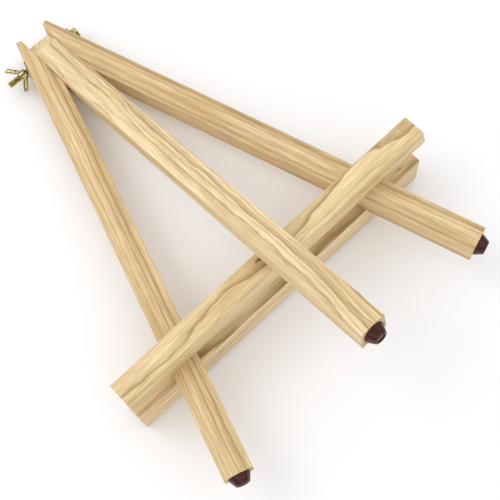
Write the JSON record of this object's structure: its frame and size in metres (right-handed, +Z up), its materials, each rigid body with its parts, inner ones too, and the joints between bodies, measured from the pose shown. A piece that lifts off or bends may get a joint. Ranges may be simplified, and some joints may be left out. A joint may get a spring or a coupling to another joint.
{
  "type": "tabletop artist easel",
  "caption": "Folding wooden tabletop easel: splayed front legs, swinging rear leg, sliding clamp crossbar, wing nuts and tapered rubber feet.",
  "frame": {"origin": "on the floor, at the bottom centre of the folded easel's bounding box as it lies on its front", "axes": "+Z up from the floor, +Y from the feet towards the apex, +X to the right along the apex bolt seen from the back"},
  "size_m": [0.3378, 0.4408, 0.1501],
  "materials": {
    "leg_wood": "satin varnish",
    "rear_leg_wood": "satin varnish",
    "bar_wood": "satin varnish",
    "plated_steel": "yellow zinc plate, bright",
    "foot_rubber": "smooth dark brown",
    "screw_steel": "blackened"
  },
  "bodies": {
    "front_frame": {"front_leg_left": "leg_wood", "front_leg_right": "leg_wood", "foot_left": "foot_rubber", "foot_right": "foot_rubber", "foot_screw_left": "screw_steel", "foot_screw_right": "screw_steel", "foot_washer_left": "screw_steel", "foot_washer_right": "screw_steel", "apex_bolt": "plated_steel", "apex_washer_left": "plated_steel", "apex_washer_right": "plated_steel"},
    "rear_leg": {"rear_leg": "rear_leg_wood", "foot_rear": "foot_rubber", "foot_screw_rear": "screw_steel", "foot_washer_rear": "screw_steel"},
    "crossbar": {"rear_clamp_bar": "bar_wood", "shelf_bar": "bar_wood", "spacer_block": "bar_wood", "shelf_bolt": "plated_steel", "shelf_bolt_washer": "plated_steel", "shelf_nut_washer": "plated_steel"},
    "apex_wing_nut": {"apex_wing_nut": "plated_steel"},
    "shelf_wing_nut": {"shelf_wing_nut": "plated_steel"}
  },
  "joints": [
    {"name": "rear_leg_hinge", "type": "hinge", "parent": "front_frame", "child": "rear_leg", "pos_m": [-0.00392, 0.19447, 0.01633], "axis": [-1, 0, 0], "range_deg": [0, 33.5]},
    {"name": "crossbar_slide", "type": "slide", "parent": "front_frame", "child": "crossbar", "axis": [-0.2924, -0.9517, 0.094], "range_m": [0, 0.06]},
    {"name": "apex_nut_spin", "type": "hinge", "parent": "front_frame", "child": "apex_wing_nut", "pos_m": [-0.03315, 0.19447, 0.01633], "axis": [-1, 0, 0], "continuous": true},
    {"name": "shelf_nut_spin", "type": "hinge", "parent": "crossbar", "child": "shelf_wing_nut", "pos_m": [-0.00392, -0.10394, 0.08281], "axis": [0, 0.0983, 0.9952], "continuous": true}
  ]
}
